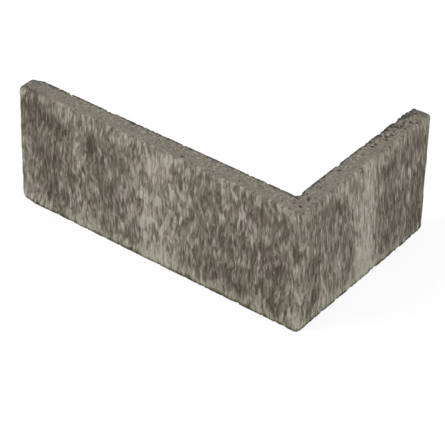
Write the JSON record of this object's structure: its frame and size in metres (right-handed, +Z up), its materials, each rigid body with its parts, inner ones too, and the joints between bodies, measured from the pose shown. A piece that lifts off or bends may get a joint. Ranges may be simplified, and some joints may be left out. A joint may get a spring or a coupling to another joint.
{
  "type": "corner clinker tile",
  "caption": "L-shaped fired clinker tile that wraps the outer corner of a wall, with brushed faces and a keyed back.",
  "frame": {"origin": "centre of the bounding box, at the level of the lower bed face", "axes": "+X along the long leg to the corner, +Y along the short leg away from the corner, +Z up the height of the course"},
  "size_m": [0.18, 0.11, 0.071],
  "materials": {
    "fired_clay": "matt grey-brown, brushed and cloudy"
  },
  "bodies": {
    "root": {"corner_tile": "fired_clay"}
  },
  "joints": []
}
